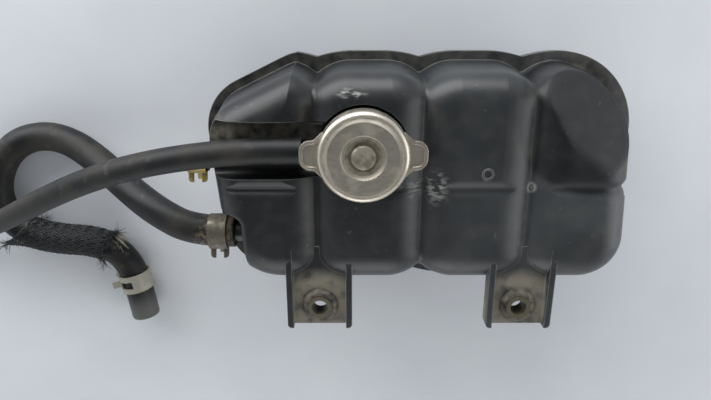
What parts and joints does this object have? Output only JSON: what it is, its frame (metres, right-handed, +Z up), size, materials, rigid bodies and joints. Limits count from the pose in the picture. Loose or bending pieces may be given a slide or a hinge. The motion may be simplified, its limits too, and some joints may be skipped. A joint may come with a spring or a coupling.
{
  "type": "coolant expansion tank",
  "caption": "Lobed black plastic coolant expansion tank with a bayonet pressure cap, bushed bracket legs, and moulded rubber vent and feed hoses held by spring clamps.",
  "frame": {"origin": "on the floor under the middle of the tank's box, hoses left out", "axes": "+X along the tank away from the hoses, +Y away from the bracket legs, +Z up along the cap's axis"},
  "size_m": [0.485, 0.1961, 0.1118],
  "materials": {
    "tank_plastic": "satin moulded nylon",
    "cap_steel": "dulled stainless",
    "spring_steel": "bright",
    "seal_rubber": "matt",
    "valve_brass": "plain",
    "sleeve_steel": "dull zinc",
    "hose_rubber": "matt with dust",
    "braid_nylon": "woven",
    "clamp_zinc": "dusty zinc",
    "clamp_chromate": "yellow chromate"
  },
  "bodies": {
    "tank": {"upper_shell": "tank_plastic", "lower_shell": "tank_plastic", "filler_neck": "tank_plastic", "left_grommet": "seal_rubber", "right_grommet": "seal_rubber", "left_sleeve": "sleeve_steel", "right_sleeve": "sleeve_steel", "vent_hose": "hose_rubber", "feed_hose": "hose_rubber", "braid_sleeve": "braid_nylon", "nozzle_clamp": "clamp_zinc", "hose_end_clamp": "clamp_zinc", "spare_clamp": "clamp_chromate", "spare_plug": "hose_rubber"},
    "cap_core": {"cap_diaphragm": "spring_steel", "cap_top_seal": "seal_rubber", "spring_bell": "spring_steel", "cap_rivet": "cap_steel", "pressure_spring": "spring_steel"},
    "cap_shell": {"cap_crown": "cap_steel"},
    "pressure_valve": {"pressure_plate": "spring_steel", "pressure_seal": "seal_rubber", "vacuum_spring": "spring_steel"},
    "vacuum_valve": {"vacuum_valve": "valve_brass"}
  },
  "joints": [
    {"name": "cap_lift", "type": "slide", "parent": "tank", "child": "cap_core", "axis": [0, 0, 1], "range_m": [0, 0.045]},
    {"name": "cap_turn", "type": "hinge", "parent": "cap_core", "child": "cap_shell", "pos_m": [-0.02565, 0.02905, 0.111], "axis": [0, 0, 1], "range_deg": [-90, 0]},
    {"name": "pressure_relief", "type": "slide", "parent": "cap_core", "child": "pressure_valve", "axis": [0, 0, 1], "range_m": [0, 0.003], "stiffness_N_per_m": 2000, "deforming": ["pressure_spring"]},
    {"name": "vacuum_relief", "type": "slide", "parent": "pressure_valve", "child": "vacuum_valve", "axis": [0, 0, -1], "range_m": [0, 0.0015], "stiffness_N_per_m": 600, "deforming": ["vacuum_spring"]}
  ]
}
